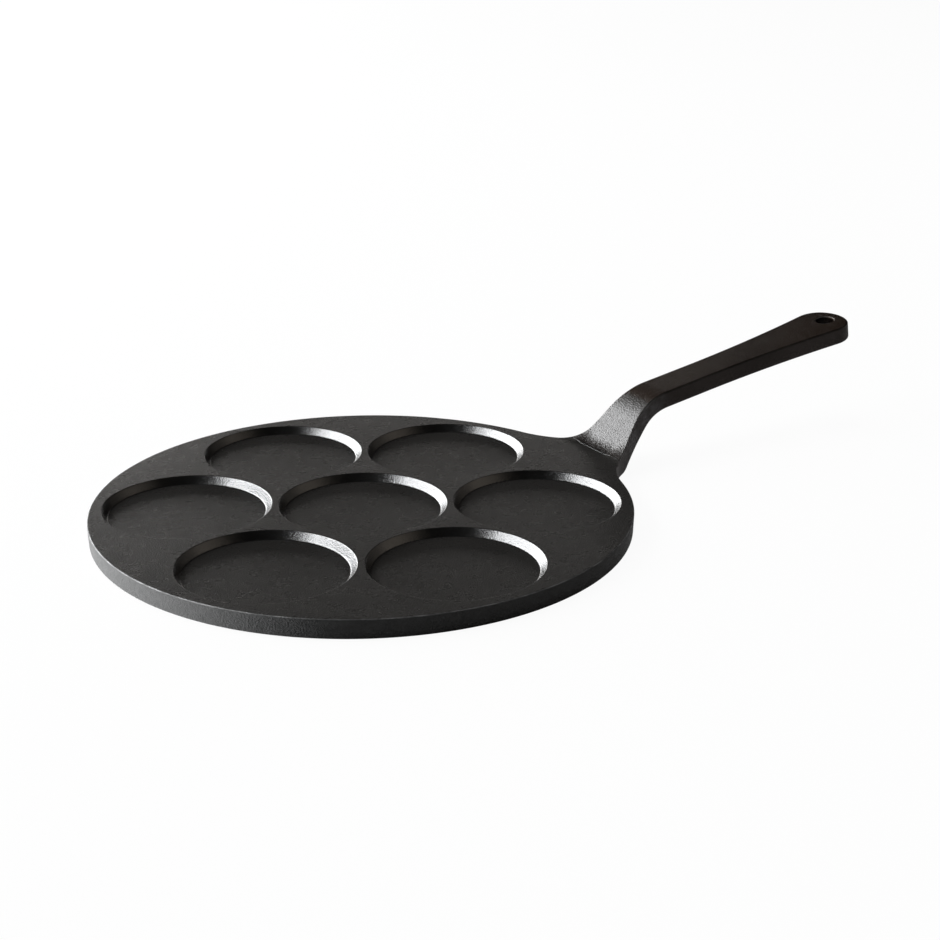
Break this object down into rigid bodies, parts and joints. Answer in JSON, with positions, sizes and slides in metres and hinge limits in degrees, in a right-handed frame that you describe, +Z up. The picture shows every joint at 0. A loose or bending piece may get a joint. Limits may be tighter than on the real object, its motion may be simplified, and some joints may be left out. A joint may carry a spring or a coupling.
{
  "type": "plett pan",
  "caption": "Round cast-iron griddle plate with shallow round wells for small pancakes, and a cranked flat handle with a hanging hole.",
  "frame": {"origin": "centre of the round plate on its flat underside", "axes": "+Z up out of the wells, +X from the plate's centre along the handle"},
  "size_m": [0.3859, 0.2298, 0.0503],
  "materials": {
    "plate_iron": "matt, fine-grained, seasoned black",
    "handle_iron": "matt, fine-grained, seasoned brown-black"
  },
  "bodies": {
    "root": {"griddle_plate": "plate_iron", "handle": "handle_iron"}
  },
  "joints": []
}
